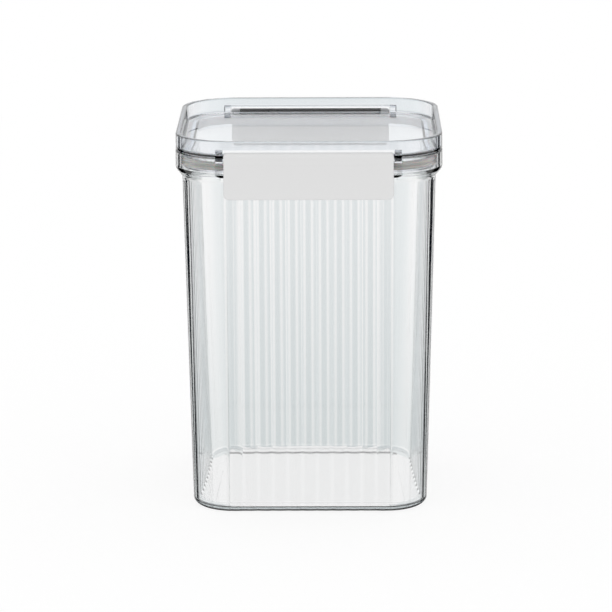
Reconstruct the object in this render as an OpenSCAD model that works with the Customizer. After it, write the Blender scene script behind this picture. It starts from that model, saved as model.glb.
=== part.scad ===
// Square food canister: a clear drafted tub with fluted walls, a clear recessed lid with a soft seal,
// and two thumb latches that hinge in the lid's ears and hook under the collar.
// Origin: middle of the base, at the level it stands on. +Z is up and the front is -Y.

/* [Overall] */
// Width of the lid, the same both ways
lid_w = 105; // [100:0.5:112]
// Plan radius of the lid's corners
corner_r = 22.5; // [20:0.5:25]
// Height of the tub, from the table to the top of its collar
tub_h = 144.3; // [90:0.1:220]

/* [Tub] */
// How far the tub's walls lie in from the lid's edge, just under the shoulder
neck_inset = 2.45; // [1.8:0.05:3]
// How much further in each wall lies at the table, which is the tub's draft
wall_taper = 3.05; // [1:0.05:4.5]
// Thickness of the tub's walls, collar included
wall = 2.2; // [1.6:0.1:2.8]
// Thickness of the floor where the tub stands
floor_t = 2.2; // [1.8:0.1:3.5]
// Outer radius between the floor and the walls
base_edge_r = 3; // [2.6:0.1:5]
// How far the collar stands out past the lid, each side
collar_proud = 0.1; // [0:0.05:0.3]
// Straight height of the collar
collar_h = 6.1; // [5.8:0.1:8]
// Slope of the shoulder under the collar, in degrees from upright
shoulder_a = 38; // [30:1:50]
// Width of the shallow recess under the base
foot_recess_w = 76; // [60:1:80]
// Depth of the recess under the base
foot_recess_d = 0.8; // [0.4:0.1:1.2]

/* [Flutes] */
// Number of rounded vertical flutes on each wall
flute_count = 11; // [5:2:11]
// Distance between flutes
flute_pitch = 5.9; // [4:0.1:6.4]
// Depth of the grooves between flutes
flute_d = 0.3; // [0.15:0.05:0.5]

/* [Lid] */
// Height of the lid's rim above its flange
rim_h = 6.5; // [5.5:0.1:9]
// Thickness of the rim
rim_t = 2.1; // [1.8:0.1:2.6]
// Thickness of the recessed panel
panel_t = 1.9; // [1.5:0.1:2.5]
// Height of the panel's top above the flange
panel_rise = 0.6; // [0.4:0.1:1.2]
// Radius where the panel turns up into the rim
tray_r = 0.8; // [0.5:0.1:1.5]
// Depth of the plug below the flange
plug_d = 6.5; // [6.2:0.1:7.2]
// Thickness of the plug, groove included
plug_t = 3.3; // [3:0.1:4]

/* [Seal] */
// Depth of the seal's groove in the plug
groove_d = 1.5; // [1.2:0.1:1.7]
// Height of the seal's groove
groove_h = 3.5; // [3:0.1:3.6]
// How far the seal's lips stand out of the plug
lip_proud = 0.75; // [0.4:0.05:0.75]

/* [Latches] */
// Width of a latch
latch_w = 66; // [50:1:68]
// Height of a latch, from its hinge axis to its lower edge
latch_drop = 16.6; // [14:0.1:20]
// Thickness of a latch's plate
latch_t = 1.5; // [1.2:0.1:1.8]
// How far a latch's lower edge flares out
lip_flare = 1.5; // [0.8:0.1:3]
// Radius of the rounded head at a latch's hinge
head_r = 1.6; // [1.4:0.05:1.7]
// Radius of the hinge pins
pin_r = 0.65; // [0.6:0.05:0.7]
// Width of each hinge ear
ear_w = 2.8; // [2:0.1:3.5]
// Height of the hinge ears
ear_h = 5.2; // [4.2:0.1:5.4]
// Depth of the hook and of the catch that it goes under
hook_d = 0.7; // [0.5:0.05:0.8]

/* [Clearances] */
// Gap between pieces that move past each other
gap = 0.3; // [0.2:0.05:0.4]
// Radial play of the hinge pins
pin_play = 0.07; // [0.04:0.01:0.1]
// Play of the seal in its groove
seal_play = 0.05; // [0.02:0.01:0.1]
// Gap between the plug and the collar's bore
plug_gap = 1; // [0.95:0.05:1.3]

/* [Hidden] */
$fn = 96;
tiny = 0.01;

// Plan: every wall is a straight run between corner centres and a quarter turn round each centre.
lid_half = lid_w / 2;
centre = lid_half - corner_r;
neck_half = lid_half - neck_inset;
base_half = neck_half - wall_taper;
collar_half = lid_half + collar_proud;
bore_half = collar_half - wall;
plug_half = bore_half - plug_gap;

// Heights
collar_z = tub_h - collar_h;
flange_z = tub_h + gap;
rim_z = flange_z + rim_h;
panel_z = flange_z + panel_rise;
plug_z = flange_z - plug_d;
groove_down = 2;
groove_top_z = flange_z - groove_down;

// Shoulder: an outer round under the collar, a slope, and an inner round into the wall at the neck.
// Its inside runs parallel to its outside.
shoulder_in_r = 0.3;
shoulder_r = wall + shoulder_in_r;
shoulder_x = collar_half - shoulder_r;
neck_r = 1.5;
slope_end = collar_half - shoulder_r * (1 - cos(shoulder_a));
neck_x = neck_half + neck_r;
slope_foot = neck_half + neck_r * (1 - cos(shoulder_a));
slope_h = (slope_end - slope_foot) / tan(shoulder_a);
neck_z = collar_z - (shoulder_r + neck_r) * sin(shoulder_a) - slope_h;
draft = (neck_half - base_half) / neck_z;

// Hinge: its axis lies just outside the rim, level with the panel, and the head sits in a pocket of the rim.
hinge_proud = 0.4;
hinge_rise = 0.6;
hinge_out = lid_half + hinge_proud;
hinge_z = flange_z + hinge_rise;
pocket_r = head_r + gap;
ear_r = head_r;
latch_half = latch_w / 2;
ear_in = latch_half + gap;
ear_out = ear_in + ear_w;
rim_at_ear = centre + sqrt(pow(corner_r, 2) - pow(max(0, ear_out - centre), 2));
boss_l = 3.5;
pin_l = boss_l;
head_wall = 0.5;

// Catch and hook, on a flat recess in the collar
recess_d = 1;
recess_half = ear_out + gap;
recess_out = collar_half - recess_d;
catch_drop = 4.9;
catch_h = 1.4;
catch_inset = 2;
catch_out = recess_out + hook_d;
catch_top_z = hinge_z - catch_drop;
catch_half = latch_half - catch_inset;
recess_top_z = hinge_z - ear_h / 2 - gap;
plate_back = catch_out + gap;
hook_in = recess_out + gap;
hook_top_z = catch_top_z - catch_h - gap;
hook_h = 1.4;

// Points of an arc in a profile, from angle a0 to angle a1
function arc(x, z, r, a0, a1, steps = 8) =
    [for (i = [0 : steps]) let (a = a0 + (a1 - a0) * i / steps) [x + r * cos(a), z + r * sin(a)]];

// A wall swept round the plan. The profile gives distance from the middle plane and height.
module round_plan(profile) {
    for (turn = [0 : 90 : 270]) rotate([0, 0, turn]) {
        translate([centre, centre, 0])
            rotate_extrude(angle = 90) translate([-centre, 0]) polygon(profile);
        translate([0, centre, 0]) rotate([90, 0, 0])
            linear_extrude(2 * centre) polygon(profile);
    }
}

module centre_slab(low_z, high_z)
    translate([-centre, -centre, low_z]) cube([2 * centre, 2 * centre, high_z - low_z]);

// A plate with rounded corners in plan, centred on the origin
module rounded_plate(half, r, low_z, high_z)
    translate([0, 0, low_z]) linear_extrude(high_z - low_z) union() {
        square([2 * half, 2 * (half - r)], center = true);
        square([2 * (half - r), 2 * half], center = true);
        for (x = [-1, 1], y = [-1, 1]) translate([x * (half - r), y * (half - r)]) circle(r);
    }

// A solid along X at the front, from a profile of distance in front of the middle plane and height
module along_front(half) rotate([90, 0, -90]) linear_extrude(2 * half, center = true) children();

module front_and_rear() for (turn = [0, 180]) rotate([0, 0, turn]) children();

// Tub

module tub_shell() {
    inner_r = base_edge_r - wall;
    lip_r = 0.4;
    profile = concat(
        [[centre, 0]],
        arc(base_half + draft * base_edge_r - base_edge_r, base_edge_r, base_edge_r, -90, 0),
        arc(neck_x, neck_z, neck_r, 180, 180 - shoulder_a),
        arc(shoulder_x, collar_z, shoulder_r, -shoulder_a, 0),
        arc(collar_half - lip_r, tub_h - lip_r, lip_r, 0, 90, 4),
        arc(bore_half + lip_r, tub_h - lip_r, lip_r, 90, 180, 4),
        arc(shoulder_x, collar_z, shoulder_in_r, 0, -shoulder_a, 4),
        arc(neck_x, neck_z, neck_r + wall, 180 - shoulder_a, 180),
        arc(base_half + draft * floor_t - wall - inner_r, floor_t + inner_r, inner_r, 0, -90, 4),
        [[centre, floor_t]]
    );
    round_plan(profile);
    centre_slab(0, floor_t);
}

// Cutter for one wall's flutes: a thin slab along the drafted face, less a round bar for each flute.
// One more bar at each end lets the last grooves run out on the corners.
module flute_cutter() {
    flute_r = (pow(flute_pitch / 2, 2) + pow(flute_d, 2)) / (2 * flute_d);
    bars = flute_count + 2;
    lean = atan(draft);
    start = 2;
    top_gap = 1;
    run = neck_z / cos(lean) + start - top_gap;
    crest_cut = 0.03;
    translate([0, -base_half, 0]) rotate([lean, 0, 0]) difference() {
        translate([-bars * flute_pitch / 2, -start, -start])
            cube([bars * flute_pitch, start + flute_d + crest_cut, run]);
        for (i = [0 : bars - 1])
            translate([(i - (bars - 1) / 2) * flute_pitch, flute_r + crest_cut, -2 * start])
                cylinder(r = flute_r, h = run + 2 * start);
    }
}

// The collar's flat recess behind a latch, and the notch that its hinge head turns in
module latch_recess() {
    front = collar_half + 1;
    translate([-recess_half, -front, neck_z])
        cube([2 * recess_half, front - recess_out, tub_h]);
    translate([-recess_half, -front, recess_top_z])
        cube([2 * recess_half, front - centre, tub_h]);
}

module catch_bead()
    along_front(catch_half) polygon([
        [recess_out - tiny, catch_top_z - catch_h],
        [catch_out, catch_top_z - catch_h],
        [catch_out, catch_top_z - catch_h / 2],
        [recess_out - tiny, catch_top_z]
    ]);

module tub() color([0.9, 0.93, 0.93, 0.4]) {
    foot_corner_r = 4;
    difference() {
        tub_shell();
        for (turn = [0 : 90 : 270]) rotate([0, 0, turn]) flute_cutter();
        front_and_rear() latch_recess();
        rounded_plate(foot_recess_w / 2, foot_corner_r, -1, foot_recess_d);
    }
    front_and_rear() catch_bead();
}

// Lid

module lid_shell() {
    edge_r = 0.5;
    rim_draft = 0.1;
    tray_half = lid_half - rim_t - rim_draft;
    groove_x = plug_half - groove_d;
    plug_in = plug_half - plug_t;
    profile = concat(
        [[centre, panel_z]],
        arc(tray_half - tray_r, panel_z + tray_r, tray_r, -90, 0),
        arc(lid_half - rim_t + edge_r, rim_z - edge_r, edge_r, 180, 90, 4),
        arc(lid_half - edge_r, rim_z - edge_r, edge_r, 90, 0, 4),
        arc(lid_half - edge_r, flange_z + edge_r, edge_r, 0, -90, 4),
        [
            [plug_half, flange_z],
            [plug_half, groove_top_z],
            [groove_x, groove_top_z],
            [groove_x, groove_top_z - groove_h],
            [plug_half, groove_top_z - groove_h]
        ],
        arc(plug_half - edge_r, plug_z + edge_r, edge_r, 0, -90, 4),
        arc(plug_in + edge_r, plug_z + edge_r, edge_r, -90, -180, 4),
        arc(plug_in - edge_r, panel_z - panel_t - edge_r, edge_r, 0, 90, 4),
        [[centre, panel_z - panel_t]]
    );
    round_plan(profile);
    centre_slab(panel_z - panel_t, panel_z);
}

// Upright slot shape round the hinge axis, used for the ears and for the pocket between them
module hinge_slot(r) {
    spread = ear_h / 2 - r;
    for (side = [-1, 1]) translate([hinge_out, hinge_z + side * spread]) circle(r);
    translate([hinge_out - r, hinge_z - spread]) square([2 * r, 2 * spread]);
}

module ear_pair() {
    ear_root = rim_at_ear - rim_t / 2;
    for (side = [-1, 1]) translate([side * (ear_in + ear_out) / 2, 0, 0]) along_front(ear_w / 2) {
        hinge_slot(ear_r);
        translate([ear_root, flange_z]) square([hinge_out - ear_root, hinge_z + ear_h / 2 - flange_z]);
    }
}

module pin_pair()
    for (side = [-1, 1]) translate([side * (ear_in - pin_l / 2 + tiny), 0, 0]) along_front(pin_l / 2 + tiny)
        translate([hinge_out, hinge_z]) circle(pin_r);

module lid() color([0.92, 0.94, 0.95, 0.4]) {
    difference() {
        union() {
            lid_shell();
            front_and_rear() ear_pair();
        }
        front_and_rear() along_front(ear_in) hinge_slot(pocket_r);
    }
    front_and_rear() pin_pair();
}

// Seal: a back that fills the groove, and two lips that meet the collar's bore

module seal_ring() color([0.74, 0.73, 0.71]) {
    face_inset = 0.2;
    back_x = plug_half - groove_d + seal_play;
    face_x = plug_half - face_inset;
    lip_r = 0.45;
    lip_x = plug_half + lip_proud - lip_r;
    low_z = groove_top_z - groove_h + seal_play;
    high_z = groove_top_z - seal_play;
    lip_z = (high_z - low_z) / 4;
    profile = concat(
        [[back_x, low_z], [face_x, low_z], [face_x, low_z + lip_z - lip_r]],
        arc(lip_x, low_z + lip_z, lip_r, -90, 90, 6),
        [[face_x, low_z + lip_z + lip_r], [face_x, high_z - lip_z - lip_r]],
        arc(lip_x, high_z - lip_z, lip_r, -90, 90, 6),
        [[face_x, high_z - lip_z + lip_r], [face_x, high_z], [back_x, high_z]]
    );
    round_plan(profile);
}

// Latches

// Section of a latch: round head at the hinge, a waist, and a lower edge that flares out
module latch_section() {
    edge_r = latch_t / 2;
    head_a = 5;
    head_low_z = hinge_z - head_r;
    low_z = hinge_z - latch_drop;
    waist_z = hook_top_z + 2 * gap;
    run = waist_z - low_z - edge_r;
    bend_r = (pow(run, 2) + pow(lip_flare, 2)) / (2 * lip_flare);
    bend_a = asin(run / bend_r);
    back = plate_back;
    face = plate_back + latch_t;
    union() {
        translate([hinge_out, hinge_z]) circle(head_r);
        polygon(concat(
            [[hinge_out, hinge_z], [back, head_low_z], [back, waist_z]],
            arc(face + bend_r, waist_z, bend_r + latch_t, 180, 180 + bend_a, 10),
            arc(face + bend_r, waist_z, bend_r, 180 + bend_a, 180, 10),
            [[face, head_low_z - head_r], [hinge_out + head_r * cos(head_a), hinge_z - head_r * sin(head_a)]]
        ));
        translate([face + bend_r, waist_z]) rotate(180 + bend_a) translate([bend_r + edge_r, 0])
            circle(edge_r);
    }
}

module latch_hook() {
    nose_h = 0.6;
    along_front(catch_half) polygon([
        [plate_back + tiny, hook_top_z],
        [hook_in, hook_top_z],
        [hook_in, hook_top_z - nose_h],
        [plate_back + tiny, hook_top_z - hook_h]
    ]);
}

// Front outline of a latch, with rounded corners
module latch_outline() {
    top_r = 1.4;
    low_r = 2.2;
    front = lid_half + lip_flare + 8;
    high_z = hinge_z + head_r;
    low_z = hinge_z - latch_drop;
    translate([0, -front, 0]) rotate([-90, 0, 0]) mirror([0, 1, 0]) linear_extrude(front - centre) union() {
        translate([-latch_half, low_z + low_r]) square([latch_w, high_z - top_r - low_z - low_r]);
        translate([top_r - latch_half, high_z - 2 * top_r]) square([latch_w - 2 * top_r, 2 * top_r]);
        translate([low_r - latch_half, low_z]) square([latch_w - 2 * low_r, 2 * low_r]);
        for (side = [-1, 1]) {
            translate([side * (latch_half - top_r), high_z - top_r]) circle(top_r);
            translate([side * (latch_half - low_r), low_z + low_r]) circle(low_r);
        }
    }
}

module latch() {
    channel_r = head_r - head_wall;
    back = hinge_out - head_r - 1;
    intersection() {
        difference() {
            union() {
                along_front(latch_half) latch_section();
                latch_hook();
            }
            along_front(latch_half + 1) translate([hinge_out, hinge_z]) circle(pin_r + pin_play);
            along_front(latch_half - boss_l) {
                translate([hinge_out, hinge_z]) circle(channel_r);
                translate([back, hinge_z - channel_r]) square([hinge_out - back, 2 * channel_r]);
            }
        }
        latch_outline();
    }
}

module front_latch() color([0.85, 0.85, 0.85]) latch();

module rear_latch() color([0.85, 0.85, 0.85]) rotate([0, 0, 180]) latch();

tub();
lid();
seal_ring();
front_latch();
rear_latch();
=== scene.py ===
"""A square food canister in clear plastic with a recessed clear lid, a soft seal and two grey latches.

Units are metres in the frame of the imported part: +Z up, front on -Y, the base standing at z = 0.
"""

import math

import bpy
import numpy as np
from mathutils import Matrix, Vector


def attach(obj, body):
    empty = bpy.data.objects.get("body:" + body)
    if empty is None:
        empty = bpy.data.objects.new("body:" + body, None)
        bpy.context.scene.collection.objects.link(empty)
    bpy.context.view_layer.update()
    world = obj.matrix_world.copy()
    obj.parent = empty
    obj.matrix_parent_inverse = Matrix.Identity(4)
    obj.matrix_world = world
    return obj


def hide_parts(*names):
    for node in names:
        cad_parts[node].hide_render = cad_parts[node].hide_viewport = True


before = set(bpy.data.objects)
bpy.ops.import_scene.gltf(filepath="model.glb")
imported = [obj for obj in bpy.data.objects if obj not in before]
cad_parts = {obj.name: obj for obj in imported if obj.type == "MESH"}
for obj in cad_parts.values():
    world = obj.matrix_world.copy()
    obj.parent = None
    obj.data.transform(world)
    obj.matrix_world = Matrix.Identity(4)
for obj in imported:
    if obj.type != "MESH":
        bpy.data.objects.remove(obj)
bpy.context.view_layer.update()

MM = 0.001
scene = bpy.context.scene

# Sizes in millimetres, as the part's source has them, but for RIM_LEAN (0.1 there) and the flutes' fades.
# In a profile, u is a wall's distance from the middle plane. On each side, x runs along it and v outwards.

# Overall
LID_HALF = 52.5
CORNER_R = 22.5
TUB_TOP = 144.3
PLAY = 0.3

# Tub
WALL = 2.2
NECK_INSET = 2.45
TAPER = 3.05
BASE_R = 3.0
FLOOR_Z = 2.2
FLOOR_R = 0.8
FOOT_RECESS_HALF = 38.0
FOOT_RECESS_R = 4.0
FOOT_RECESS_Z = 0.8
NECK_R = 1.5
NECK_Z = 133.56
SHOULDER_SLOPE = 38.0
SHOULDER_IN_R = 0.3
COLLAR_PROUD = 0.1
COLLAR_H = 6.1
LIP_R = 0.4

# Flutes: rounded ribs side by side with a sharp groove between each two, fading out at their ends
FLUTES = 13
FLUTE_PITCH = 5.9
FLUTE_DEPTH = 0.3
FLUTE_TOP = 132.5
FLUTE_TOP_FADE = 1.2
FLUTE_SIDE = 34.4
FLUTE_SIDE_FADE = 4.0

# Lid, with the groove for the seal
RIM_H = 6.5
RIM_T = 2.1
RIM_LEAN = 0.03
EDGE_R = 0.5
TRAY_R = 0.8
PANEL_RISE = 0.6
PANEL_T = 1.9
PLUG_GAP = 1.0
PLUG_D = 6.5
PLUG_T = 3.3
GROOVE_DOWN = 2.0
GROOVE_H = 3.5
GROOVE_DEPTH = 1.5

# Hinge in the lid, and the recess and the catch on the collar behind each latch
LATCH_HALF = 33.0
HINGE_PROUD = 0.4
HINGE_RISE = 0.6
HEAD_R = 1.6
HEAD_WALL = 0.5
BOSS_L = 3.5
EAR_W = 2.8
EAR_H = 5.2
RECESS_D = 1.0
CATCH_INSET = 2.0
CATCH_DROP = 4.9
CATCH_H = 1.4
CATCH_D = 0.7

# Worked out from the above: the tub
CENTRE = LID_HALF - CORNER_R
NECK_HALF = LID_HALF - NECK_INSET
BASE_HALF = NECK_HALF - TAPER
DRAFT = TAPER / NECK_Z
COLLAR_HALF = LID_HALF + COLLAR_PROUD
COLLAR_Z = TUB_TOP - COLLAR_H
BORE_HALF = COLLAR_HALF - WALL
SHOULDER_R = WALL + SHOULDER_IN_R
FLUTE_R = ((FLUTE_PITCH / 2) ** 2 + FLUTE_DEPTH ** 2) / (2 * FLUTE_DEPTH)

# The lid
FLANGE_Z = TUB_TOP + PLAY
RIM_Z = FLANGE_Z + RIM_H
PANEL_TOP = FLANGE_Z + PANEL_RISE
PANEL_LOW = PANEL_TOP - PANEL_T
PLUG_HALF = BORE_HALF - PLUG_GAP
PLUG_Z = FLANGE_Z - PLUG_D
GROOVE_HIGH = FLANGE_Z - GROOVE_DOWN
GROOVE_LOW = GROOVE_HIGH - GROOVE_H

# The hinge, the recess and the catch
HINGE_V = LID_HALF + HINGE_PROUD
HINGE_Z = FLANGE_Z + HINGE_RISE
EAR_TOP = HINGE_Z + EAR_H / 2
EAR_IN = LATCH_HALF + PLAY
EAR_OUT = EAR_IN + EAR_W
EAR_R = HEAD_R
POCKET_R = HEAD_R + PLAY
NOTCH_Z = HINGE_Z - EAR_H / 2 - PLAY
RECESS_HALF = EAR_OUT + PLAY
RECESS_V = COLLAR_HALF - RECESS_D
CATCH_HALF = LATCH_HALF - CATCH_INSET
CATCH_V = RECESS_V + CATCH_D
CATCH_HIGH = HINGE_Z - CATCH_DROP
CATCH_LOW = CATCH_HIGH - CATCH_H


# ---------------------------------------------------------------- materials

WHITE = "#FFFFFF"
# Grain of the latches, about 0.4 mm across
GRAINS_PER_M = 2600.0
# How far the painted shade in a latch's channel reaches past its edges, and how far in from the axis its
# lips start
PAINTED_SHADE_OVER = 0.1
LIPS_IN = 0.5


def linear(hex_colour):
    """Linear RGB plus alpha from an sRGB hex colour such as "#DCDEDE"."""
    channels = [int(hex_colour[i:i + 2], 16) / 255 for i in (1, 3, 5)]
    return tuple(c / 12.92 if c <= 0.04045 else ((c + 0.055) / 1.055) ** 2.4
                 for c in channels) + (1.0,)


def add_node(tree, kind, inputs=None, **settings):
    """One shader node. Inputs maps a socket to what feeds it: a socket of another node, or a value.

    Settings name an attribute of the node, or else an input that takes a value.
    """
    node = tree.nodes.new(kind)
    for name, value in settings.items():
        if hasattr(node, name):
            setattr(node, name, value)
        else:
            node.inputs[name.replace("_", " ")].default_value = value
    for name, source in (inputs or {}).items():
        if isinstance(source, bpy.types.NodeSocket):
            tree.links.new(source, node.inputs[name])
        else:
            node.inputs[name].default_value = source
    return node


def new_material(name):
    """A material without any nodes yet, and its node tree."""
    material = bpy.data.materials.new(name)
    material.use_nodes = True
    material.node_tree.nodes.clear()
    return material, material.node_tree


def clear_styrene(name, tint, density):
    """Polished moulded clear plastic: a faint absorption inside tints the long paths at its edges."""
    material, tree = new_material(name)
    surface = add_node(tree, "ShaderNodeBsdfPrincipled", {"Transmission Weight": 1.0},
                       Base_Color=linear(WHITE), Roughness=0.0, IOR=1.57)
    inside = add_node(tree, "ShaderNodeVolumeAbsorption", Color=linear(tint), Density=density)
    add_node(tree, "ShaderNodeOutputMaterial", {"Surface": surface.outputs[0], "Volume": inside.outputs[0]})
    return material


def painted_shade_mask(tree, place):
    """1 where near-black shade is painted: in the channel that cores out a latch's head, and on its lips,
    between the bosses; 0 elsewhere.
    """
    spot = add_node(tree, "ShaderNodeVectorMath", {0: place}, operation="ABSOLUTE")
    axis = (0, HINGE_V * MM, HINGE_Z * MM)
    off_axis = add_node(tree, "ShaderNodeVectorMath", {0: spot.outputs[0], 1: axis}, operation="SUBTRACT")
    across = add_node(tree, "ShaderNodeVectorMath", {0: off_axis.outputs[0], 1: (0, 1, 1)},
                      operation="MULTIPLY")
    length = add_node(tree, "ShaderNodeVectorMath", {0: across.outputs[0]}, operation="LENGTH")
    reach = length.outputs["Value"]
    parts = add_node(tree, "ShaderNodeSeparateXYZ", {"Vector": spot.outputs[0]})
    limits = ((reach, HEAD_R - HEAD_WALL + PAINTED_SHADE_OVER),
              (reach, HEAD_R + PAINTED_SHADE_OVER),
              (parts.outputs["Y"], HINGE_V - LIPS_IN),
              (parts.outputs["X"], LATCH_HALF - BOSS_L - PAINTED_SHADE_OVER))
    core, near, mouth, between = [
        add_node(tree, "ShaderNodeMath", {0: value, 1: limit * MM}, operation="LESS_THAN").outputs[0]
        for value, limit in limits]
    lips = add_node(tree, "ShaderNodeMath", {0: near, 1: mouth}, operation="MULTIPLY")
    hollow = add_node(tree, "ShaderNodeMath", {0: core, 1: lips.outputs[0]}, operation="MAXIMUM")
    mask = add_node(tree, "ShaderNodeMath", {0: hollow.outputs[0], 1: between}, operation="MULTIPLY")
    return mask.outputs[0]


def matt_latch_plastic():
    """Spark-eroded ABS: a fine grain breaks up the highlight so the latches read as matt pale grey.

    Near-black shade is painted into the channel in the head and onto its lips.
    """
    material, tree = new_material("matt_latch_abs")
    place = add_node(tree, "ShaderNodeTexCoord").outputs["Object"]
    grain = add_node(tree, "ShaderNodeTexNoise", {"Vector": place}, Scale=GRAINS_PER_M, Detail=2.0)
    soft_edge = add_node(tree, "ShaderNodeBevel", samples=6, Radius=0.45 * MM)
    bump = add_node(tree, "ShaderNodeBump", {"Height": grain.outputs[0], "Normal": soft_edge.outputs[0]},
                    Strength=0.08, Distance=0.05 * MM)
    # Painted shade: near-black #0C0D0D stands in for the shade in the channel and on its lips, where the
    # plastic is really grey
    colour = add_node(tree, "ShaderNodeMixRGB", {"Fac": painted_shade_mask(tree, place)},
                      Color1=linear("#DFDFDF"), Color2=linear("#0C0D0D"))
    surface = add_node(tree, "ShaderNodeBsdfPrincipled",
                       {"Base Color": colour.outputs[0], "Normal": bump.outputs[0]}, Roughness=0.55, IOR=1.5)
    add_node(tree, "ShaderNodeOutputMaterial", {"Surface": surface.outputs[0]})
    return material


def seal_silicone():
    """Translucent moulded silicone: light scatters through it, so the band glows a warm grey."""
    material, tree = new_material("seal_silicone")
    surface = add_node(tree, "ShaderNodeBsdfPrincipled",
                       {"Subsurface Weight": 0.3, "Subsurface Scale": 1.0 * MM},
                       Base_Color=linear("#E8E6E2"), Roughness=0.5, IOR=1.41)
    add_node(tree, "ShaderNodeOutputMaterial", {"Surface": surface.outputs[0]})
    return material


# ---------------------------------------------------------------- plan: the columns of the swept walls

# Where the columns of a side end and those of the corner begin
SIDE_END = 37.5
# Where the cuts for the latches end. Columns keep clear of each, apart from two that stand close beside it
CUTS = (CATCH_HALF, EAR_IN, EAR_OUT, RECESS_HALF)
CUT_CLEAR = 0.03
CUT_GAP = 0.001
# How far from a groove its columns stand, and the step and number of the columns on the corner's arc
BESIDE_GROOVE = (0, 0.04, 0.1, 0.2, 0.35, 0.55, 0.85, 1.25, 1.7, 2.3)
ARC_STEP = 0.6
ARC_COLUMNS = 12
CORNER_STEPS = 26
# How close to the end of a long straight the profile gets one more point, so that its faces shade flat
HOLD = 0.12
# Edges that turn by more degrees than this shade sharp
SHARP_ANGLE = 32.0


def side_columns():
    """Columns of the front wall and one corner, as (kind, value): ("x", x in mm) or ("turn", 0 to 1)."""
    grooves = [(i - FLUTES / 2) * FLUTE_PITCH for i in range(1, FLUTES)]
    xs = set()
    for groove in grooves + [FLUTES / 2 * FLUTE_PITCH * s for s in (-1, 1)]:
        for away in BESIDE_GROOVE:
            for x in (groove - away, groove + away):
                if abs(x) < SIDE_END:
                    xs.add(round(x, 3))
    for groove in grooves:
        xs.add(round(groove + FLUTE_PITCH / 2, 3))
    for i in range(1, ARC_COLUMNS + 1):
        xs.update((CENTRE + ARC_STEP * i, -CENTRE - ARC_STEP * i))
    xs = [x for x in sorted(xs) if min(abs(abs(x) - cut) for cut in CUTS) > CUT_CLEAR]
    columns = [("x", x) for x in xs]
    for cut in CUTS:
        for side in (-1, 1):
            columns += [("x", side * (cut - CUT_GAP)), ("x", side * (cut + CUT_GAP))]
    columns = sorted(columns + [("x", -SIDE_END), ("x", SIDE_END)], key=lambda c: c[1])
    return columns + [("turn", i / CORNER_STEPS) for i in range(1, CORNER_STEPS)]


COLUMNS = side_columns()


def wall_point(column, u, fan=False):
    """Where a wall at distance u from the middle plane meets a column: x along the front, v outwards.

    With fan, the columns on the corners run along the corner's cone instead of at a constant x.
    """
    kind, value = column
    r = u - CENTRE
    if fan:
        spread = COLLAR_HALF - CENTRE
        start = math.asin((SIDE_END - CENTRE) / spread)
        angle = start + value * (math.pi / 2 - 2 * start)
        if kind == "x":
            angle = math.asin(max(0.0, abs(value) - CENTRE) / spread)
            x = min(abs(value), CENTRE) + r * math.sin(angle)
            return math.copysign(x, value), CENTRE + r * math.cos(angle)
        return CENTRE + r * math.sin(angle), CENTRE + r * math.cos(angle)
    if kind == "x":
        past = max(0.0, abs(value) - CENTRE)
        return value, CENTRE + math.sqrt(r * r - past * past)
    start = math.asin((SIDE_END - CENTRE) / r)
    angle = start + value * (math.pi / 2 - 2 * start)
    return CENTRE + r * math.sin(angle), CENTRE + r * math.cos(angle)


def plate_point(index, half, corner_r):
    """The same for a rounded plate with its own corner radius.

    Its arc is shared by the columns round the corner.
    """
    kind, value = COLUMNS[index]
    flat = half - corner_r
    if kind == "x" and abs(value) <= flat:
        return value, half
    last = max(i for i, c in enumerate(COLUMNS) if c[0] == "x" and c[1] <= flat)
    first = min(i for i, c in enumerate(COLUMNS) if c[0] == "x" and c[1] >= -flat)
    span = len(COLUMNS) - last + first
    if index > last:
        angle = math.pi / 2 * (index - last) / span
        return flat + corner_r * math.sin(angle), flat + corner_r * math.cos(angle)
    angle = math.pi / 2 * (first - index) / span
    return -flat - corner_r * math.sin(angle), flat + corner_r * math.cos(angle)


def arc(u, z, r, start, end, steps):
    """Profile points of an arc, angles in degrees, anticlockwise from outwards."""
    return [(u + r * math.cos(math.radians(start + (end - start) * i / steps)),
             z + r * math.sin(math.radians(start + (end - start) * i / steps))) for i in range(steps + 1)]


def held(rows):
    """The profile with a point close to each end of every long straight."""
    out = [rows[0]]
    for a, b in zip(rows, rows[1:]):
        length = math.hypot(b[0] - a[0], b[1] - a[1])
        if length > 8 * HOLD:
            for t in (HOLD / length, 1 - HOLD / length):
                out.append((a[0] + (b[0] - a[0]) * t, a[1] + (b[1] - a[1]) * t))
        out.append(b)
    return out


def swept_mesh(name, rows, place, from_top=False):
    """A closed shell: every row is a loop round the plan. place(side, column, row) gives x, v, z in mm.

    Rows run from the underside outwards and up, or with from_top from the upper face outwards and down.
    """
    count = len(COLUMNS)
    ring = 4 * count
    points = np.empty((len(rows), ring, 3))
    for side in range(4):
        turn = side * math.pi / 2
        c, s = math.cos(turn), math.sin(turn)
        for j in range(count):
            for i in range(len(rows)):
                x, v, z = place(side, j, i)
                points[i, side * count + j] = (x * c + v * s, x * s - v * c, z)
    faces = []
    for i in range(len(rows) - 1):
        for j in range(ring):
            k = (j + 1) % ring
            faces.append((i * ring + j, i * ring + k, (i + 1) * ring + k, (i + 1) * ring + j))
    faces.append(tuple(range(ring - 1, -1, -1)))
    last = (len(rows) - 1) * ring
    faces.append(tuple(range(last, last + ring)))
    if from_top:
        faces = [face[::-1] for face in faces]
    mesh = bpy.data.meshes.new(name)
    mesh.from_pydata((points.reshape(-1, 3) * MM).tolist(), [], faces)
    mesh.validate()
    mesh.shade_smooth()
    mesh.set_sharp_from_angle(angle=math.radians(SHARP_ANGLE))
    piece = bpy.data.objects.new(name, mesh)
    scene.collection.objects.link(piece)
    return piece


# ---------------------------------------------------------------- tub

# Below this height the columns on the corners follow the corner's cone
FAN_TOP = NECK_Z - 1.0
# How much the catch's underside rises over its depth
CATCH_STEP = 0.02


def eased(t):
    """0 below 0, 1 above 1, and a smooth run between."""
    t = min(1.0, max(0.0, t))
    return t * t * (3 - 2 * t)


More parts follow.
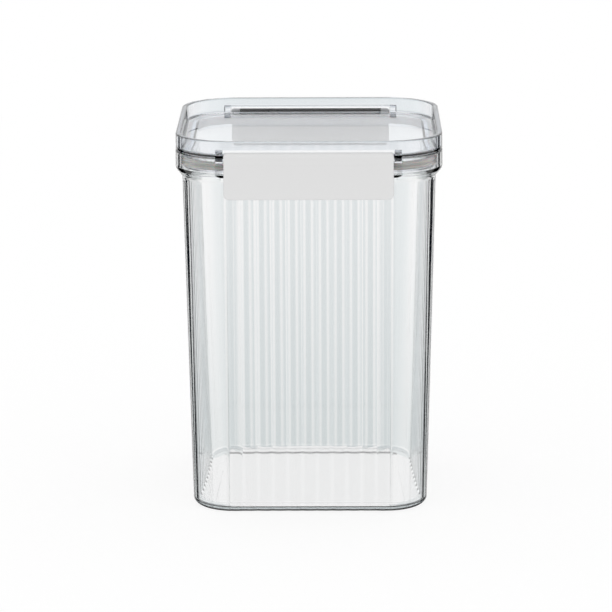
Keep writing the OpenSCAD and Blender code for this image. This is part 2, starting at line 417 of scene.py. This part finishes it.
def flute_depth(x, z):
    """Depth of the groove between the flutes at x, fading out under the shoulder and on the corners."""
    off = (x + FLUTES / 2 * FLUTE_PITCH) % FLUTE_PITCH - FLUTE_PITCH / 2
    depth = FLUTE_R - math.sqrt(FLUTE_R * FLUTE_R - off * off)
    return depth * eased((FLUTE_TOP - z) / FLUTE_TOP_FADE) * eased((FLUTE_SIDE - abs(x)) / FLUTE_SIDE_FADE)


def tub_rows():
    """Profile of the wall: base, drafted face, shoulder, collar, lip, bore, and inside to the floor."""
    base_u = BASE_HALF + DRAFT * BASE_R - BASE_R
    floor_u = BASE_HALF + DRAFT * FLOOR_Z - WALL - FLOOR_R
    rows = arc(base_u, BASE_R, BASE_R, -90, 0, 14)
    for i in range(5):
        z = FLUTE_TOP - FLUTE_TOP_FADE * (1 - i / 4)
        rows.append((BASE_HALF + DRAFT * z, z))
    rows += arc(NECK_HALF + NECK_R, NECK_Z, NECK_R, 180, 180 - SHOULDER_SLOPE, 8)
    rows += arc(COLLAR_HALF - SHOULDER_R, COLLAR_Z, SHOULDER_R, -SHOULDER_SLOPE, 0, 8)
    for z in (CATCH_LOW, CATCH_LOW + CATCH_STEP, (CATCH_LOW + CATCH_HIGH) / 2, CATCH_HIGH, NOTCH_Z):
        rows.append((COLLAR_HALF, z))
    rows += arc(COLLAR_HALF - LIP_R, TUB_TOP - LIP_R, LIP_R, 0, 90, 5)
    rows += arc(BORE_HALF + LIP_R, TUB_TOP - LIP_R, LIP_R, 90, 180, 5)
    rows.append((BORE_HALF, NOTCH_Z))
    rows += arc(COLLAR_HALF - SHOULDER_R, COLLAR_Z, SHOULDER_IN_R, 0, -SHOULDER_SLOPE, 4)
    rows += arc(NECK_HALF + NECK_R, NECK_Z, NECK_R + WALL, 180 - SHOULDER_SLOPE, 180, 10)
    rows += arc(floor_u, FLOOR_Z + FLOOR_R, FLOOR_R, 0, -90, 8)
    return [(base_u - HOLD, 0)] + held(rows) + [(floor_u - HOLD, FLOOR_Z)]


def make_tub():
    """The tub: the recess under its base, then the wall, cut back on two sides for the latches."""
    rows = [("plate", FOOT_RECESS_Z), ("plate", 0.0)] + tub_rows()
    outer_end = rows.index((COLLAR_HALF, NOTCH_Z))

    def place(side, j, i):
        if rows[i][0] == "plate":
            x, v = plate_point(j, FOOT_RECESS_HALF, FOOT_RECESS_R)
            return x, v, rows[i][1]
        u, z = rows[i]
        x, v = wall_point(COLUMNS[j], u, fan=z < FAN_TOP)
        if i < outer_end and COLUMNS[j][0] == "x":
            v -= flute_depth(COLUMNS[j][1], z)
        if side in (0, 2) and abs(x) <= RECESS_HALF and v > 0:
            v = min(v, RECESS_V)
            z = min(z, NOTCH_Z)
            if abs(x) <= CATCH_HALF and i < outer_end and CATCH_LOW < z < CATCH_HIGH:
                v = CATCH_V
        return x, v, z

    return swept_mesh("clear_tub_wall", rows, place)


# ---------------------------------------------------------------- lid

# Rows of the rim's outer face and of the flange. At a hinge those from EAR_TOP to POCKET_END bend round it
RIM_ROWS = 13
RIM_ROW_STEP = 0.2
POCKET_END = 51.15
FLANGE_ROWS = (51.8, 51.6, 51.4, POCKET_END, 50.9, PLUG_HALF)


def lid_rows():
    """Profile of the lid: panel, tray, rim, outer face, flange, plug with the seal's groove, and inside."""
    rim_in = LID_HALF - RIM_T
    tray = rim_in - RIM_LEAN
    plug_in = PLUG_HALF - PLUG_T
    groove = PLUG_HALF - GROOVE_DEPTH
    rows = arc(tray - TRAY_R, PANEL_TOP + TRAY_R, TRAY_R, -90, 0, 16)
    rows += arc(rim_in + EDGE_R, RIM_Z - EDGE_R, EDGE_R, 180, 90, 7)
    rows += arc(LID_HALF - EDGE_R, RIM_Z - EDGE_R, EDGE_R, 90, 0, 7)
    rows += [(LID_HALF, EAR_TOP - RIM_ROW_STEP * i) for i in range(RIM_ROWS)]
    rows += arc(LID_HALF - EDGE_R, FLANGE_Z + EDGE_R, EDGE_R, 0, -90, 10)
    rows += [(u, FLANGE_Z) for u in FLANGE_ROWS]
    rows += [(PLUG_HALF, GROOVE_HIGH), (groove, GROOVE_HIGH), (groove, GROOVE_LOW), (PLUG_HALF, GROOVE_LOW)]
    rows += arc(PLUG_HALF - EDGE_R, PLUG_Z + EDGE_R, EDGE_R, 0, -90, 5)
    rows += arc(plug_in + EDGE_R, PLUG_Z + EDGE_R, EDGE_R, -90, -180, 5)
    rows += arc(plug_in - EDGE_R, PANEL_LOW - EDGE_R, EDGE_R, 0, 90, 6)
    return [(tray - TRAY_R - HOLD, PANEL_TOP)] + held(rows) + [(plug_in - EDGE_R - HOLD, PANEL_LOW)]


def slot_path(start_v, t):
    """Outline of an ear, from the rim's face (t = 0) outwards round the hinge to the flange (t = 1)."""
    spread = EAR_H / 2 - EAR_R
    bend = EAR_R * math.pi / 2
    lead = HINGE_V - start_v
    drop = 2 * spread
    tail = max(0.0, FLANGE_Z - HINGE_Z + spread)
    along = t * (lead + bend + drop + 2 * bend + tail)
    if along < lead:
        return start_v + along, EAR_TOP
    along -= lead
    if along < bend:
        angle = math.pi / 2 - along / EAR_R
        return HINGE_V + EAR_R * math.cos(angle), HINGE_Z + spread + EAR_R * math.sin(angle)
    along -= bend
    if along < drop:
        return HINGE_V + EAR_R, HINGE_Z + spread - along
    along -= drop
    if along < 2 * bend:
        angle = -along / EAR_R
        return HINGE_V + EAR_R * math.cos(angle), HINGE_Z - spread + EAR_R * math.sin(angle)
    return HINGE_V - EAR_R, HINGE_Z - spread + along - 2 * bend


def pocket_path(start_v, t):
    """The pocket's inside, from the rim's face (t = 0) over its top and down its flat back to the flange."""
    spread = EAR_H / 2 - POCKET_R
    top = HINGE_Z + spread + math.sqrt(POCKET_R ** 2 - (HINGE_V - start_v) ** 2)
    first = math.atan2(top - HINGE_Z - spread, start_v - HINGE_V)
    bend = POCKET_R * (math.pi - first)
    drop = HINGE_Z + spread - FLANGE_Z
    along = t * (bend + drop)
    if along < bend:
        angle = first + along / POCKET_R
        return HINGE_V + POCKET_R * math.cos(angle), HINGE_Z + spread + POCKET_R * math.sin(angle)
    return HINGE_V - POCKET_R, max(FLANGE_Z, HINGE_Z + spread - (along - bend))


def make_lid():
    """The lid. On two sides its rows from the rim's face to the flange bend round the hinge."""
    rows = lid_rows()
    first = rows.index((LID_HALF, EAR_TOP))
    last = rows.index((POCKET_END, FLANGE_Z))

    def place(side, j, i):
        u, z = rows[i]
        x, v = wall_point(COLUMNS[j], u)
        if side in (1, 3) or v < 0 or not first <= i <= last or abs(x) > EAR_OUT:
            return x, v, z
        rim = wall_point(COLUMNS[j], LID_HALF)[1]
        t = (i - first) / (last - first)
        if abs(x) < EAR_IN:
            v, z = pocket_path(rim, t)
        else:
            v, z = slot_path(rim, t)
        return x, v, z

    return swept_mesh("clear_lid_shell", rows, place, from_top=True)


# ---------------------------------------------------------------- build

tub_plastic = clear_styrene("clear_styrene_tub", tint="#B9C8CC", density=10.0)
lid_plastic = clear_styrene("clear_styrene_lid", tint="#A8BEDA", density=42.0)
latch_plastic = matt_latch_plastic()
silicone = seal_silicone()

tub = make_tub()
tub.data.materials.append(tub_plastic)
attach(tub, "canister")
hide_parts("tub")

lid = make_lid()
lid.data.materials.append(lid_plastic)
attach(lid, "lid")
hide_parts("lid")

kept_pieces = (("seal_ring", silicone), ("front_latch", latch_plastic), ("rear_latch", latch_plastic))
for node, material in kept_pieces:
    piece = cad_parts[node]
    piece.material_slots[0].material = material


# ---------------------------------------------------------------- stage, light and camera

# The gaps between the light cards, and the dim part of the room that polished faces mirror
GAP = "#060C14"
DIM = "#101214"
BLACK = "#000000"
# Light behind the clear walls, by the angle from the front or the rear (0) round to the sides (90)
WALLS = [(0, "#E9EDEE"), (3, "#EBEFF0"), (7, WHITE), (20, WHITE), (24, "#E6EAEC"), (34, "#E6EAEC"),
         (38, WHITE), (90, WHITE)]
# The same for light that has turned inside one wall, as at its edges: cards with dark gaps between
EDGE = [(0, WHITE), (5.5, WHITE), (6, GAP), (16, GAP), (16.5, WHITE), (26.5, WHITE), (27, GAP), (38.3, GAP),
        (38.7, WHITE), (43.1, WHITE), (43.5, GAP), (58, GAP), (66, "#B4BEC4"), (90, "#D0D8DC")]
# What both are multiplied by at each height in degrees, and how much of them shows there instead of white
FALL = [(-90, "#DADDDE"), (-30, "#DFE2E3"), (-17, "#E4E7E7"), (-15.4, "#EBEEEE"), (-11.5, WHITE),
        (90, WHITE)]
BAND = [(-90, BLACK), (-75, BLACK), (-65, WHITE), (-2, WHITE), (3, BLACK), (90, BLACK)]
# Light that polished faces mirror, from the front (-1) to the rear (1), and how much ceiling shows by height
MIRRORED = [(-1, DIM), (-0.92, DIM), (-0.86, WHITE), (0.4, WHITE), (0.47, DIM), (0.775, DIM), (0.84, WHITE),
            (1, WHITE)]
CEILING = [(-90, BLACK), (-8, BLACK), (6, WHITE), (90, WHITE)]
# Light has turned inside one wall if it passed fewer faces than PASSED_BELOW and bounced off more faces than
# BOUNCED_ABOVE. Where it then heads to the front, with y below FRONT_Y, it meets a gap
PASSED_BELOW = 2.5
BOUNCED_ABOVE = 0.5
FRONT_Y = -0.1

# Round table: clear plastic shows it out to PAPER_R, and SHADOW is how much of its white can be shaded
TABLE_R = 900.0
TABLE_Z = -0.1
TABLE_SIDES = 48
PAPER_R = 52.0
SHADOW = 0.15

# Camera: place in millimetres before the turn about the upright axis, angles in degrees, lens and sensor
CAMERA_PLACE = (-1.689, -1332.7, 380.86)
CAMERA_TURN = 0.503
CAMERA_DOWN = 12.978
CAMERA_ROLL = -0.243
LENS = 197.55
SENSOR = 36.0


def levels(tree, source, stops, first, last):
    """Colour read from (place, hex) stops. The source is 0 at the first place, 1 at the last."""
    ramp = add_node(tree, "ShaderNodeValToRGB", {"Fac": source})
    elements = ramp.color_ramp.elements
    while len(elements) < len(stops):
        elements.new(0.5)
    for element, (place, colour) in zip(elements, stops):
        element.position = (place - first) / (last - first)
        element.color = linear(colour)
    return ramp.outputs[0]


def light_behind(tree, path, heading, rise):
    """What clear plastic lets through: light cards all round, in a band of heights with white beyond."""
    sides = add_node(tree, "ShaderNodeVectorMath", {0: heading}, operation="ABSOLUTE")
    flat = add_node(tree, "ShaderNodeSeparateXYZ", {"Vector": sides.outputs[0]})
    azimuth = add_node(tree, "ShaderNodeMath", {0: flat.outputs["X"], 1: flat.outputs["Y"]},
                       operation="ARCTAN2")
    part = add_node(tree, "ShaderNodeMath", {0: azimuth.outputs[0], 1: 2 / math.pi}, operation="MULTIPLY")
    split = add_node(tree, "ShaderNodeSeparateXYZ", {"Vector": heading})
    front = add_node(tree, "ShaderNodeMath", {0: split.outputs["Y"], 1: FRONT_Y}, operation="LESS_THAN")
    passed = add_node(tree, "ShaderNodeMath", {0: path.outputs["Transmission Depth"], 1: PASSED_BELOW},
                      operation="LESS_THAN")
    bounced = add_node(tree, "ShaderNodeMath", {0: path.outputs["Glossy Depth"], 1: BOUNCED_ABOVE},
                       operation="GREATER_THAN")
    turned = add_node(tree, "ShaderNodeMath", {0: passed.outputs[0], 1: bounced.outputs[0]},
                      operation="MULTIPLY")
    edge = add_node(tree, "ShaderNodeMixRGB",
                    {"Fac": front.outputs[0], "Color1": levels(tree, part.outputs[0], EDGE, 0, 90)},
                    Color2=linear(GAP))
    cards = add_node(tree, "ShaderNodeMixRGB",
                     {"Fac": turned.outputs[0], "Color1": levels(tree, part.outputs[0], WALLS, 0, 90),
                      "Color2": edge.outputs[0]})
    fallen = add_node(tree, "ShaderNodeMixRGB",
                      {"Color1": cards.outputs[0], "Color2": levels(tree, rise, FALL, -90, 90)},
                      Fac=1.0, blend_type="MULTIPLY")
    return add_node(tree, "ShaderNodeMixRGB",
                    {"Fac": levels(tree, rise, BAND, -90, 90), "Color2": fallen.outputs[0]},
                    Color1=linear(WHITE)).outputs[0]


def light_mirrored(tree, heading, rise):
    """What polished faces mirror: a white ceiling over a room with dim stretches from front to rear."""
    split = add_node(tree, "ShaderNodeSeparateXYZ", {"Vector": heading})
    toward = add_node(tree, "ShaderNodeMath", {0: split.outputs["Y"], 1: 0.5, 2: 0.5},
                      operation="MULTIPLY_ADD")
    return add_node(tree, "ShaderNodeMixRGB",
                    {"Fac": levels(tree, rise, CEILING, -90, 90),
                     "Color1": levels(tree, toward.outputs[0], MIRRORED, -1, 1)},
                    Color2=linear(WHITE)).outputs[0]


def studio_world():
    """White for the camera and for matt faces; for clear plastic, light behind it and light that it mirrors.

    A ray that clear plastic lets through counts as glossy too, so the light behind is mixed in second.
    """
    world = bpy.data.worlds.new("studio")
    scene.world = world
    world.use_nodes = True
    tree = world.node_tree
    tree.nodes.clear()
    path = add_node(tree, "ShaderNodeLightPath")
    heading = add_node(tree, "ShaderNodeTexCoord").outputs["Generated"]
    split = add_node(tree, "ShaderNodeSeparateXYZ", {"Vector": heading})
    angle = add_node(tree, "ShaderNodeMath", {0: split.outputs["Z"]}, operation="ARCSINE")
    rise = add_node(tree, "ShaderNodeMath", {0: angle.outputs[0], 1: 1 / math.pi, 2: 0.5},
                    operation="MULTIPLY_ADD").outputs[0]
    white = add_node(tree, "ShaderNodeBackground", Color=linear(WHITE), Strength=1.0)
    behind = add_node(tree, "ShaderNodeBackground", {"Color": light_behind(tree, path, heading, rise)},
                      Strength=1.0)
    shine = add_node(tree, "ShaderNodeBackground", {"Color": light_mirrored(tree, heading, rise)},
                     Strength=1.0)
    seen = white.outputs[0]
    for ray, light in (("Is Glossy Ray", shine), ("Is Transmission Ray", behind), ("Is Camera Ray", white)):
        seen = add_node(tree, "ShaderNodeMixShader",
                        {0: path.outputs[ray], 1: seen, 2: light.outputs[0]}).outputs[0]
    add_node(tree, "ShaderNodeOutputWorld", {"Surface": seen})


def white_table():
    """Matt white paper with a faint shadow.

    Rays that clear plastic mirrors or lets through meet it near the base only; farther out they pass it.
    """
    material, tree = new_material("white_paper_table")
    path = add_node(tree, "ShaderNodeLightPath")
    place = add_node(tree, "ShaderNodeTexCoord")
    reach = add_node(tree, "ShaderNodeVectorMath", {0: place.outputs["Object"]}, operation="LENGTH")
    beyond = add_node(tree, "ShaderNodeMath", {0: reach.outputs["Value"], 1: PAPER_R * MM},
                      operation="GREATER_THAN")
    clear = add_node(tree, "ShaderNodeMath", {0: path.outputs["Is Glossy Ray"], 1: beyond.outputs[0]},
                     operation="MULTIPLY")
    lit = add_node(tree, "ShaderNodeEmission", Color=linear(WHITE), Strength=1.0)
    matt = add_node(tree, "ShaderNodeBsdfDiffuse", Color=linear(WHITE))
    paper = add_node(tree, "ShaderNodeMixShader", {1: lit.outputs[0], 2: matt.outputs[0]}, Fac=SHADOW)
    nothing = add_node(tree, "ShaderNodeBsdfTransparent")
    surface = add_node(tree, "ShaderNodeMixShader",
                       {0: clear.outputs[0], 1: paper.outputs[0], 2: nothing.outputs[0]})
    add_node(tree, "ShaderNodeOutputMaterial", {"Surface": surface.outputs[0]})
    turns = [math.tau * i / TABLE_SIDES for i in range(TABLE_SIDES)]
    points = [(TABLE_R * MM * math.cos(turn), TABLE_R * MM * math.sin(turn), TABLE_Z * MM) for turn in turns]
    mesh = bpy.data.meshes.new("table_top")
    mesh.from_pydata(points, [], [tuple(range(TABLE_SIDES))])
    mesh.materials.append(material)
    table = bpy.data.objects.new("table_top", mesh)
    scene.collection.objects.link(table)


def add_camera():
    """A long lens in front of the canister and above it, looking a little down."""
    down = math.radians(CAMERA_DOWN)
    roll = math.radians(CAMERA_ROLL)
    forward = Vector((0, math.cos(down), -math.sin(down)))
    up = Vector((0, math.sin(down), math.cos(down)))
    right = Vector((1, 0, 0))
    side = right * math.cos(roll) + up * math.sin(roll)
    top = up * math.cos(roll) - right * math.sin(roll)
    basis = Matrix((side, top, -forward)).transposed().to_4x4()
    data = bpy.data.cameras.new("camera")
    data.lens = LENS
    data.sensor_width = SENSOR
    camera = bpy.data.objects.new("camera", data)
    scene.collection.objects.link(camera)
    place = Matrix.Translation(Vector(CAMERA_PLACE) * MM) @ basis
    camera.matrix_world = Matrix.Rotation(math.radians(CAMERA_TURN), 4, "Z") @ place
    scene.camera = camera


studio_world()
white_table()
add_camera()
scene.view_settings.view_transform = "Standard"
